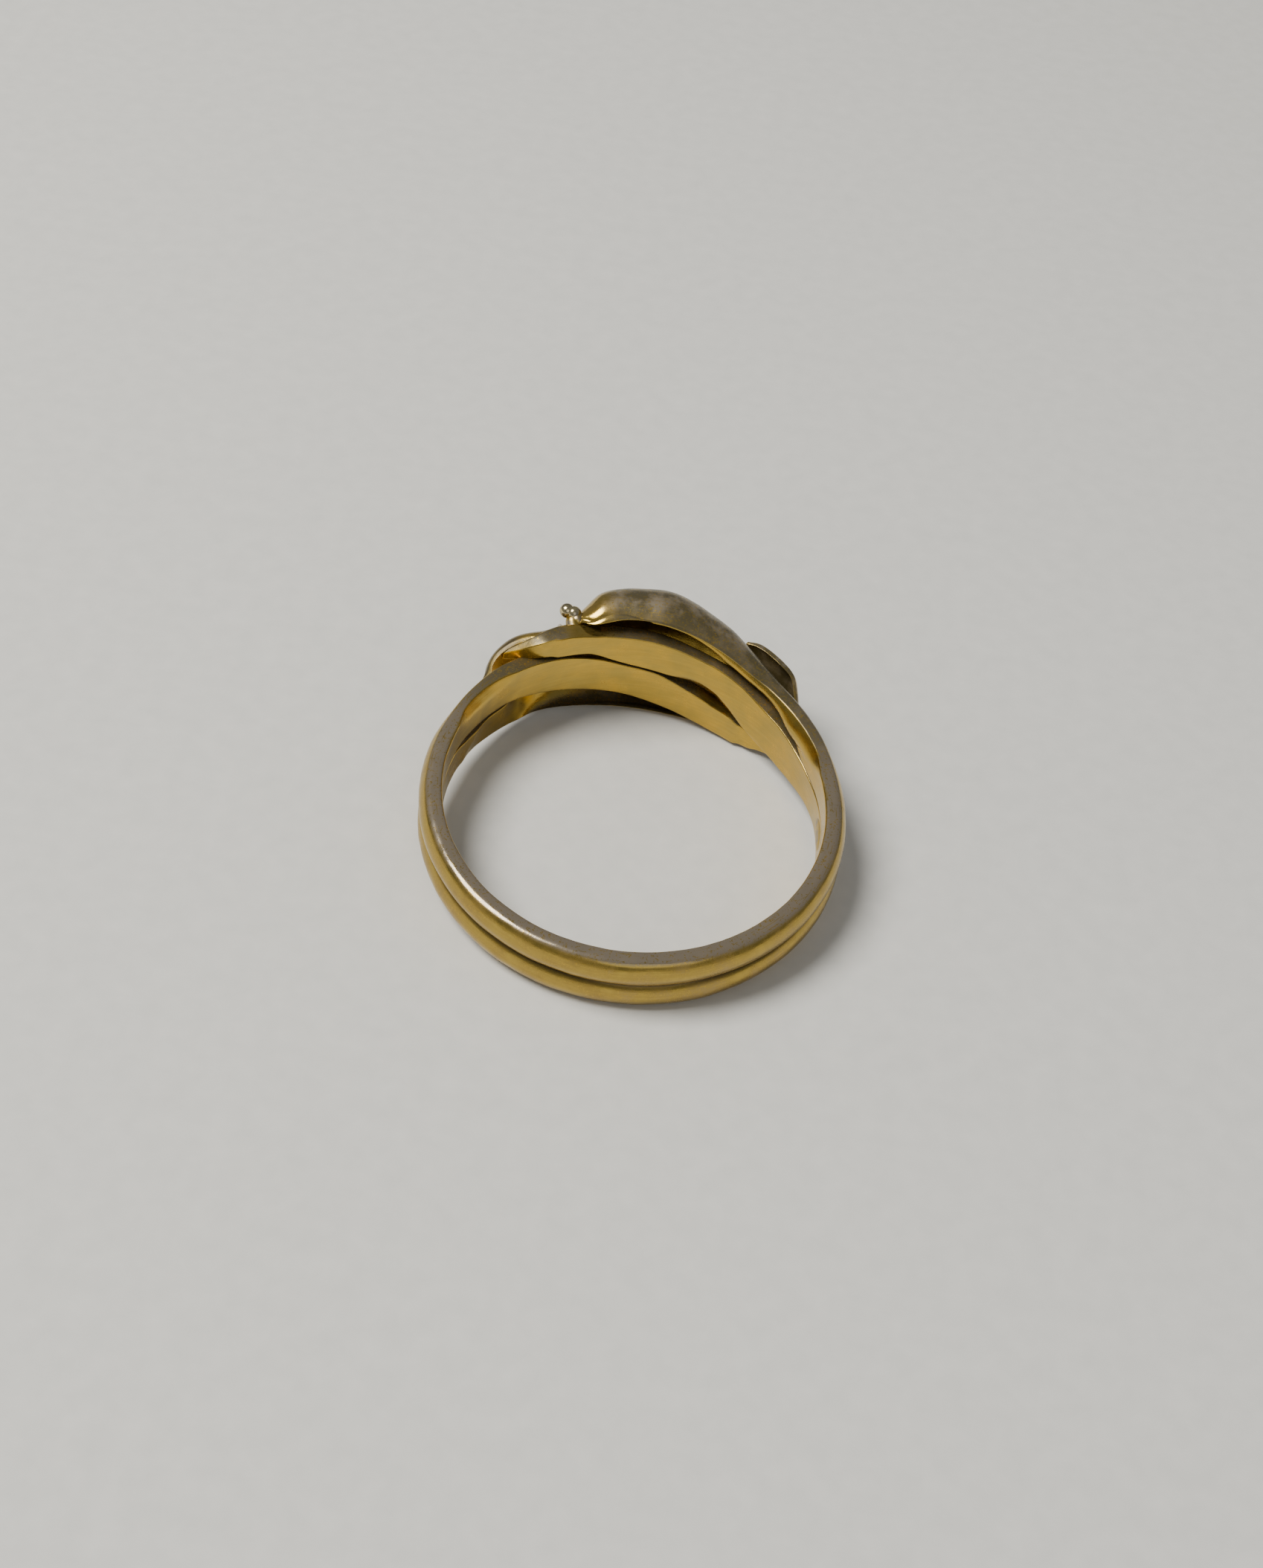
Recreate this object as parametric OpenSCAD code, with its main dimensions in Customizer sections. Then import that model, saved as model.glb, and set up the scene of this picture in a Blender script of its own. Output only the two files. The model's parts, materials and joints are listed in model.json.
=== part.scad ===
// Antique gold ring lying on its side: two half-round bands, soldered round the back, part at the shoulders.
// Two ends swell into the halves of a hollow leaf-shaped front, and two run on behind it as flat tongues
// that cross to the other shoulder and end in hollow, rounded buds.

/* [Finger] */
// Diameter of the hole for the finger
bore_d = 17.8; // [17:0.1:19]

/* [Bands] */
// Width of the two bands together at the back
bands_w = 3.2; // [3:0.1:3.4]
// Thickness of a band at its edges
edge_t = 0.65; // [0.55:0.05:0.75]
// Rise of the round face of a band above its edges
band_crown = 0.42; // [0.3:0.02:0.5]
// Overlap of the bands where they are soldered
solder_overlap = 0.16; // [0.1:0.02:0.24]
// Angle from the front at which the shank ends, each side
shoulder_angle = 84; // [82:1:88]

/* [Beads] */
// Diameter of each small bead
bead_d = 0.74; // [0.66:0.02:0.8]
// Diameter of the neck of solder that carries a pair of beads
neck_d = 1; // [0.9:0.02:1.1]

/* [Hidden] */
$fn = 48;
bore_r = bore_d / 2;
edge_r = bore_r + edge_t;
band_w = bands_w / 2;
// How far a band's blank reaches inside the bore, which is cut later, and past its crown
bore_margin = 0.3;
// Width of a neck at the beads, as a share of its width at its foot
neck_taper = 0.55;
// Facets along the outer and the inner line of a section, and the angle between sections
steps = 8;
angle_step = 2.5;

// Columns of the section tables, each row the cut through a strand at one angle round the finger
ANGLE = 0;     // degrees from the front, positive to the right
OUT_TOP = 1;   // how far the outer face is out from the wall of the finger hole at its upper edge
Z_TOP = 2;     // height of the upper edge above the middle of the ring
OUT_LOW = 3;   // how far the outer face is out at its lower edge
Z_LOW = 4;     // height of the lower edge
CROWN = 5;     // rise of the outer face above the line between its edges
T_TOP = 6;     // thickness at the upper edge, towards the finger
T_LOW = 7;     // thickness at the lower edge
HOLLOW = 8;    // rise of the inner face above the line between its edges
SHAPE = 9;     // 0.5 for an elliptic face, up to 1 for a flatter one with sharp edges

// Upper half of the leaf, from its tip to the upper band at the right shoulder
upper_leaf = [
    [-24.5,  1.28,  2.50,  1.38,  2.15,  0.10,  0.16,  0.20,  0.00, 0.50],
    [  -22,  0.98,  2.74,  1.74,  1.70,  0.42,  0.26,  0.28,  0.20, 0.50],
    [-19.5,  0.70,  2.88,  2.05,  1.32,  0.85,  0.26,  0.36,  0.50, 0.50],
    [  -16,  0.52,  2.98,  2.35,  0.95,  1.35,  0.24,  0.42,  0.90, 0.50],
    [  -11,  0.44,  3.05,  2.55,  0.60,  1.60,  0.22,  0.42,  1.20, 0.50],
    [   -5,  0.42,  3.12,  2.65,  0.28,  1.74,  0.22,  0.42,  1.35, 0.50],
    [    1,  0.42,  3.09,  2.70,  0.03,  1.85,  0.22,  0.42,  1.45, 0.50],
    [    7,  0.42,  2.96,  2.60, -0.22,  1.76,  0.22,  0.42,  1.35, 0.50],
    [   13,  0.44,  2.75,  2.35, -0.50,  1.60,  0.22,  0.42,  1.15, 0.50],
    [   19,  0.50,  2.47,  2.00, -0.80,  1.50,  0.24,  0.45,  1.08, 0.50],
    [   24,  0.58,  2.22,  1.55, -0.78,  1.32,  0.28,  0.42,  0.98, 0.50],
    [   30,  0.68,  1.95,  1.38, -0.68,  0.98,  0.32,  0.36,  0.80, 0.50],
    [   34,  0.76,  1.80,  1.28, -0.25,  0.72,  0.34,  0.28,  0.55, 0.50],
    [   38,  0.84,  1.70,  1.20,  0.25,  0.46,  0.38,  0.24,  0.30, 0.60],
    [   42,  0.90,  1.63,  1.10,  0.74,  0.28,  0.45,  0.26,  0.10, 0.70],
    [   48,  0.92,  1.60,  1.00,  0.56,  0.26,  0.50,  0.60,  0.00, 0.80],
    [   56,  0.85,  1.60,  0.90,  0.28,  0.26,  0.50,  0.80,  0.00, 0.80],
    [   66,  0.76,  1.60,  0.76,  0.08,  0.30,  0.55,  1.00,  0.00, 0.90],
    [   80,  0.66,  1.59,  0.65,  0.04,  0.38,  0.90,  1.05,  0.00, 0.90],
    [   90,  0.62,  1.57,  0.62,  0.04,  0.38,  1.05,  1.05,  0.00, 0.90]
];
// Lower half of the leaf, from the lower band at the left shoulder to its tip
lower_leaf = [
    [  -90,  0.62, -0.04,  0.62, -1.57,  0.38,  1.05,  1.05,  0.00, 0.90],
    [  -80,  0.65, -0.12,  0.66, -1.60,  0.36,  1.05,  0.90,  0.00, 0.90],
    [  -68,  0.68, -0.50,  0.70, -1.85,  0.27,  0.80,  0.62,  0.00, 0.90],
    [  -56,  0.76, -0.75,  0.74, -2.20,  0.22,  0.60,  0.60,  0.00, 0.80],
    [  -48,  0.88, -0.92,  0.78, -2.50,  0.24,  0.55,  0.50,  0.00, 0.70],
    [  -42,  1.08, -0.92,  0.82, -2.62,  0.36,  0.24,  0.50,  0.05, 0.60],
    [  -38,  1.20, -0.30,  0.80, -2.68,  0.46,  0.24,  0.38,  0.30, 0.55],
    [  -34,  1.28,  0.25,  0.76, -2.71,  0.72,  0.28,  0.34,  0.55, 0.50],
    [  -30,  1.38,  0.62,  0.68, -2.74,  0.98,  0.36,  0.32,  0.80, 0.50],
    [  -24,  1.55,  0.68,  0.58, -2.82,  1.32,  0.42,  0.28,  0.98, 0.50],
    [  -19,  2.00,  0.80,  0.50, -2.90,  1.50,  0.42,  0.24,  1.08, 0.50],
    [  -13,  2.35,  0.50,  0.44, -2.98,  1.60,  0.42,  0.22,  1.15, 0.50],
    [   -7,  2.60,  0.22,  0.42, -3.06,  1.80,  0.42,  0.22,  1.35, 0.50],
    [   -1,  2.70, -0.03,  0.42, -3.12,  1.90,  0.42,  0.22,  1.45, 0.50],
    [    5,  2.65, -0.28,  0.42, -3.12,  1.80,  0.42,  0.22,  1.35, 0.50],
    [   11,  2.55, -0.60,  0.44, -3.10,  1.65,  0.42,  0.22,  1.20, 0.50],
    [   16,  2.35, -0.95,  0.60, -3.08,  1.30,  0.42,  0.28,  0.88, 0.50],
    [ 19.5,  2.05, -1.40,  1.12, -3.05,  0.80,  0.36,  0.30,  0.48, 0.50],
    [   22,  1.74, -1.80,  1.44, -2.85,  0.40,  0.28,  0.20,  0.20, 0.50],
    [ 24.5,  1.52, -2.20,  1.50, -2.55,  0.10,  0.20,  0.16,  0.00, 0.50]
];
// Tongue from the lower band at the right shoulder, rising to the left behind the leaf
rising_tongue = [
    [-42.4,  0.71,  2.49,  0.76,  2.11,  0.05,  0.31,  0.31,  0.00, 0.80],
    [  -40,  0.66,  2.60,  0.74,  1.90,  0.08,  0.40,  0.40,  0.00, 0.80],
    [  -37,  0.66,  2.68,  0.76,  1.66,  0.10,  0.50,  0.50,  0.00, 0.80],
    [  -33,  0.72,  2.70,  0.78,  1.50,  0.10,  0.62,  0.66,  0.00, 0.80],
    [  -28,  0.78,  2.66,  0.80,  1.38,  0.10,  0.95,  0.95,  0.00, 0.80],
    [-23.5,  0.82,  2.58,  0.82,  1.30,  0.10,  1.20,  1.20,  0.00, 0.80],
    [  -20,  0.84,  2.48,  0.88,  1.18,  0.10,  1.20,  1.20,  0.00, 0.80],
    [  -12,  0.82,  2.32,  0.82,  0.58,  0.10,  1.20,  1.20,  0.00, 0.90],
    [   -4,  0.82,  2.16,  0.82,  0.22,  0.10,  1.20,  1.20,  0.00, 0.90],
    [    4,  0.82,  1.98,  0.82,  0.00,  0.10,  1.20,  1.20,  0.00, 0.90],
    [   12,  0.82,  1.74,  0.82, -0.12,  0.10,  1.20,  1.20,  0.00, 0.90],
    [   20,  0.82,  1.52,  0.82, -0.55,  0.10,  1.20,  1.20,  0.00, 0.90],
    [   29,  0.80,  1.15,  0.80, -1.32,  0.10,  1.20,  1.20,  0.00, 0.90],
    [   38,  0.76,  0.68,  0.76, -1.88,  0.12,  1.20,  1.20,  0.00, 0.90],
    [   48,  0.72,  0.40,  0.70, -2.12,  0.20,  1.20,  1.20,  0.00, 0.90],
    [   57,  0.70,  0.10,  0.68, -2.05,  0.28,  1.20,  1.20,  0.00, 0.90],
    [   67,  0.68, -0.06,  0.66, -1.75,  0.35,  1.20,  1.20,  0.00, 0.90],
    [   80,  0.65, -0.04,  0.65, -1.60,  0.38,  1.20,  1.20,  0.00, 0.90],
    [   90,  0.62, -0.04,  0.62, -1.57,  0.38,  1.20,  1.20,  0.00, 0.90]
];
// Tongue from the upper band at the left shoulder, falling to the right behind the leaf
falling_tongue = [
    [  -90,  0.62,  1.57,  0.62,  0.04,  0.38,  1.20,  1.20,  0.00, 0.90],
    [  -80,  0.66,  1.60,  0.65,  0.02,  0.34,  0.85,  1.20,  0.00, 0.90],
    [  -69,  0.68,  1.63,  0.68, -0.10,  0.22,  0.45,  1.20,  0.00, 0.90],
    [  -58,  0.74,  1.66,  0.72, -0.28,  0.12,  0.50,  1.20,  0.00, 0.90],
    [  -48,  0.82,  1.62,  0.82, -0.42,  0.10,  0.75,  1.20,  0.00, 0.90],
    [  -38,  0.82,  1.46,  0.82, -0.75,  0.10,  1.10,  1.20,  0.00, 0.90],
    [  -28,  0.82,  1.20,  0.82, -1.10,  0.10,  1.20,  1.20,  0.00, 0.90],
    [  -18,  0.82,  0.76,  0.82, -1.47,  0.10,  1.20,  1.20,  0.00, 0.90],
    [   -8,  0.82,  0.24,  0.82, -1.86,  0.10,  1.20,  1.20,  0.00, 0.90],
    [    2,  0.82, -0.16,  0.82, -2.31,  0.10,  1.20,  1.20,  0.00, 0.90],
    [   12,  0.82, -0.82,  0.82, -2.74,  0.10,  1.20,  1.20,  0.00, 0.90],
    [   20,  0.82, -1.20,  0.82, -2.98,  0.10,  1.20,  1.20,  0.00, 0.80],
    [   26,  0.80, -1.36,  0.80, -3.06,  0.10,  1.20,  1.20,  0.00, 0.80],
    [   31,  0.78, -1.66,  0.74, -3.04,  0.10,  0.70,  0.64,  0.00, 0.80],
    [   35,  0.76, -1.90,  0.70, -2.94,  0.10,  0.52,  0.52,  0.00, 0.80],
    [   38,  0.74, -2.08,  0.72, -2.78,  0.08,  0.42,  0.42,  0.00, 0.80],
    [   41,  0.76, -2.20,  0.76, -2.66,  0.06,  0.36,  0.36,  0.00, 0.80],
    [ 44.5,  0.78, -2.26,  0.80, -2.46,  0.03,  0.30,  0.30,  0.00, 0.80]
];
// Hollow, rounded bud on the outside of the rising tongue's end, outside the left shoulder
left_bud = [
    [-52.5,  1.22,  0.80,  1.28,  0.40,  0.06,  0.20,  0.20,  0.00, 0.50],
    [  -51,  1.20,  1.00,  1.40,  0.05,  0.16,  0.25,  0.22,  0.15, 0.50],
    [  -49,  1.20,  1.45,  1.62, -0.20,  0.34,  0.28,  0.22,  0.30, 0.50],
    [  -46,  1.00,  1.92,  1.95, -0.65,  0.50,  0.28,  0.22,  0.54, 0.50],
    [  -42,  0.72,  2.44,  2.30, -1.20,  0.68,  0.28,  0.22,  0.82, 0.50],
    [  -37,  0.55,  2.64,  2.52, -1.50,  0.74,  0.28,  0.24,  0.80, 0.50],
    [  -33,  0.54,  2.62,  2.52, -1.50,  0.66,  0.28,  0.26,  0.70, 0.50],
    [  -30,  0.54,  2.58,  2.62, -1.46,  0.66,  0.28,  0.26,  0.64, 0.50],
    [-28.5,  0.60,  2.55,  2.72, -1.24,  0.62,  0.28,  0.26,  0.58, 0.50],
    [-27.2,  1.20,  2.30,  2.78, -1.16,  0.50,  0.30,  0.26,  0.44, 0.50],
    [-25.6,  2.20,  1.20,  2.82, -1.08,  0.30,  0.28,  0.24,  0.24, 0.50],
    [  -24,  2.68, -0.10,  2.76, -0.85,  0.05,  0.18,  0.18,  0.00, 0.50]
];
// Hollow, rounded bud on the outside of the falling tongue's end, outside the right shoulder
right_bud = [
    [   24,  2.76,  0.85,  2.68,  0.10,  0.05,  0.18,  0.18,  0.00, 0.50],
    [ 25.6,  2.82,  1.08,  2.20, -1.20,  0.30,  0.24,  0.28,  0.24, 0.50],
    [ 27.2,  2.78,  1.16,  1.20, -2.50,  0.50,  0.26,  0.30,  0.44, 0.50],
    [ 28.5,  2.72,  1.24,  0.60, -2.90,  0.62,  0.26,  0.28,  0.58, 0.50],
    [   30,  2.62,  1.38,  0.54, -2.96,  0.66,  0.26,  0.28,  0.64, 0.50],
    [   33,  2.52,  1.40,  0.54, -2.92,  0.72,  0.26,  0.28,  0.72, 0.50],
    [   37,  2.44,  1.10,  0.58, -2.80,  0.75,  0.22,  0.28,  0.78, 0.50],
    [   40,  2.10,  0.70,  0.70, -2.62,  0.62,  0.22,  0.28,  0.62, 0.50],
    [ 42.5,  1.80,  0.25,  0.86, -2.46,  0.46,  0.22,  0.28,  0.42, 0.50],
    [   45,  1.52, -0.35,  1.10, -2.10,  0.26,  0.20,  0.24,  0.18, 0.50],
    [   47,  1.38, -0.95,  1.22, -1.70,  0.08,  0.18,  0.18,  0.00, 0.50]
];

// Centres of the beads of the upper pair: angle, distance out and height; the lower pair is its half turn
bead_places = [[-25.5, 1.75, 2.70], [-23.9, 1.55, 2.64]];
// The neck of solder that carries them runs from the edge of the tongue to between the beads
neck_foot = [-24.6, 0.60, 1.85];
neck_head = [-24.6, 1.55, 2.60];

// Smooth value of one column of a table at an angle
function row_before(t, a, i = 0) =
    (i >= len(t) - 2 || a <= t[i + 1][ANGLE]) ? i : row_before(t, a, i + 1);
function slope(t, c, i) =
    let (lo = max(i - 1, 0), hi = min(i + 1, len(t) - 1))
    (t[hi][c] - t[lo][c]) / (t[hi][ANGLE] - t[lo][ANGLE]);
function value(t, c, a) =
    let (
        i = row_before(t, a),
        span = t[i + 1][ANGLE] - t[i][ANGLE],
        s = (a - t[i][ANGLE]) / span
    )
    (2 * s ^ 3 - 3 * s ^ 2 + 1) * t[i][c]
        + (s ^ 3 - 2 * s ^ 2 + s) * span * slope(t, c, i)
        + (3 * s ^ 2 - 2 * s ^ 3) * t[i + 1][c]
        + (s ^ 3 - s ^ 2) * span * slope(t, c, i + 1);

// One line of a section, from its upper end to its lower end, bulging away from the finger
function arc_line(top, low, rise, shape) =
    let (
        middle = (top + low) / 2,
        half = (top - low) / 2,
        out = [half[1], -half[0]] / norm(half)
    )
    [for (i = [0 : steps])
        let (turn = 180 * i / steps)
        middle + half * cos(turn) + out * rise * max(sin(turn), 0) ^ (2 * shape)];

// The closed outline of a strand at an angle: its outer face downwards, then its inner face upwards
function section(t, a) =
    let (
        top = [value(t, OUT_TOP, a), value(t, Z_TOP, a)],
        low = [value(t, OUT_LOW, a), value(t, Z_LOW, a)],
        inner_top = top - [value(t, T_TOP, a), 0],
        inner_low = low - [value(t, T_LOW, a), 0],
        shape = value(t, SHAPE, a),
        outer = arc_line(top, low, value(t, CROWN, a), shape),
        inner = arc_line(inner_top, inner_low, value(t, HOLLOW, a), shape)
    )
    concat(outer, [for (i = [steps : -1 : 0]) inner[i]]);

// Angle, distance out from the wall of the finger hole and height to a point
function place(p) = [(bore_r + p[1]) * sin(p[0]), (bore_r + p[1]) * cos(p[0]), p[2]];

// Angles at which the sections of a strand are cut, and the points of all its sections
function cuts(t) =
    let (first = t[0][ANGLE], last = t[len(t) - 1][ANGLE], n = ceil((last - first) / angle_step))
    [for (i = [0 : n]) first + (last - first) * i / n];
function strand_points(t) =
    [for (a = cuts(t)) each [for (p = section(t, a)) place([a, p[0], p[1]])]];

// A strand of metal swept round the finger through the sections of a table
module strand(t) {
    n = len(cuts(t)) - 1;
    m = 2 * steps + 2;
    sides = [for (i = [0 : n - 1], j = [0 : m - 1])
        let (a = i * m + j, b = i * m + (j + 1) % m, c = b + m, d = a + m)
        each [[a, b, c], [a, c, d]]];
    ends = [for (i = [0 : steps - 1])
        let (a = i, b = i + 1, c = m - 2 - i, d = m - 1 - i, far = n * m)
        each [[c, b, a], [d, c, a], [far + a, far + b, far + c], [far + a, far + c, far + d]]];
    polyhedron(strand_points(t), concat(sides, ends));
}
module upper_leaf() strand(upper_leaf);
module lower_leaf() strand(lower_leaf);
module rising_tongue() strand(rising_tongue);
module falling_tongue() strand(falling_tongue);
module left_bud() strand(left_bud);
module right_bud() strand(right_bud);

// The round face of a band: half its width, the radius of its arc and the arc's centre
band_half = (band_w + solder_overlap / 2) / 2;
band_arc_r = (band_half ^ 2 + band_crown ^ 2) / (2 * band_crown);
band_arc_at = [edge_r + band_crown - band_arc_r, band_w - band_half];

// The ring lies on the lower edge of its back and on the lowest point of its front, so it is tilted
front_points = [
    for (t = [upper_leaf, lower_leaf, rising_tongue, falling_tongue, left_bud, right_bud])
        each strand_points(t)
];
rest_tilt = max([for (p = front_points) atan2(-band_w - p[2], p[1] + edge_r)]);
rest_lift = edge_r * sin(rest_tilt) + band_w * cos(rest_tilt);
// How far the tilted ring reaches to its front and to its back, which sets its middle
front_reach = max([for (p = front_points) p[1] * cos(rest_tilt) - p[2] * sin(rest_tilt)]);
back_reach = band_arc_at[0] * cos(rest_tilt) + band_arc_at[1] * sin(rest_tilt) + band_arc_r;

// The back of the ring: two half-round bands side by side, turned round the finger
module band_profile() {
    intersection() {
        translate(band_arc_at) circle(band_arc_r);
        translate([bore_r - bore_margin, -solder_overlap / 2])
            square([edge_t + band_crown + 2 * bore_margin, band_w + solder_overlap / 2]);
    }
}
module shank() {
    rotate_extrude(angle = 360 - 2 * shoulder_angle, start = shoulder_angle - 270)
        for (side = [0, 1]) mirror([0, side]) band_profile();
}

module bead_pair() {
    foot = place(neck_foot);
    rise = place(neck_head) - foot;
    for (p = bead_places) translate(place(p)) sphere(d = bead_d);
    translate(foot)
        rotate([0, acos(rise[2] / norm(rise)), atan2(rise[1], rise[0])])
            cylinder(h = norm(rise), d1 = neck_d, d2 = neck_d * neck_taper);
}

// The whole ring as it lies: its origin is on the surface under the middle of its box
module ring() color("goldenrod")
    translate([0, (back_reach - front_reach) / 2, rest_lift])
    rotate([rest_tilt, 0, 0])
    difference() {
        union() {
            shank();
            upper_leaf();
            lower_leaf();
            rising_tongue();
            falling_tongue();
            left_bud();
            right_bud();
            for (turn = [0, 180]) rotate([0, turn, 0]) bead_pair();
        }
        cylinder(r = bore_r, h = 4 * bands_w, center = true);
    }

ring();
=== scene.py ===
import json
import math

import bmesh
import bpy
import numpy as np
from mathutils import Matrix, Vector, noise


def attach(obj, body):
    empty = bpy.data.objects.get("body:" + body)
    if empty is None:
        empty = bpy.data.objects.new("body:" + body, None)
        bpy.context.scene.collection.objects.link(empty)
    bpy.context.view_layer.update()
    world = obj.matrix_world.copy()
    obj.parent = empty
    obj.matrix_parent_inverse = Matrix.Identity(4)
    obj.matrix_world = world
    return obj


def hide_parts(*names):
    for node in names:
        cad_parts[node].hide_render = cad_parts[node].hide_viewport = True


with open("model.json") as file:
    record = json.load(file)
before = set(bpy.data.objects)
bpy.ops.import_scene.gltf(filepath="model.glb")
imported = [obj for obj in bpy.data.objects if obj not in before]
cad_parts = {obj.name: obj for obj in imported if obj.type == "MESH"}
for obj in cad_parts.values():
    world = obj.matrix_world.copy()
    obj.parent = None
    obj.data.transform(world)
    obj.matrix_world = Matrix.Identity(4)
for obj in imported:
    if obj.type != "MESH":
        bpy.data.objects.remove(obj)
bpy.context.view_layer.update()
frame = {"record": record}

bl_info = {
    "name": "Double band ring",
    "version": (1, 0, 0),
    "blender": (4, 5, 0),
    "location": "View3D > Sidebar > Ring",
    "description": "Worn gold ring of two half-round bands whose ends cross behind a hollow leaf front",
    "category": "Object",
}

MM = 0.001
# Without a seed, the uneven surface would come out differently each time
noise.seed_set(5)

# The ring lies tilted, and its finger hole's mount says how: centre, axis and radius
HOLE = frame["record"]["mounts"][0]
BORE = HOLE["dims"]["r_mm"]
CENTRE = Vector(HOLE["pos_m"])
TILT = math.atan2(-HOLE["axis"][1], HOLE["axis"][2])
LIE = Matrix.Translation(CENTRE) @ Matrix.Rotation(TILT, 4, "X")

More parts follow.
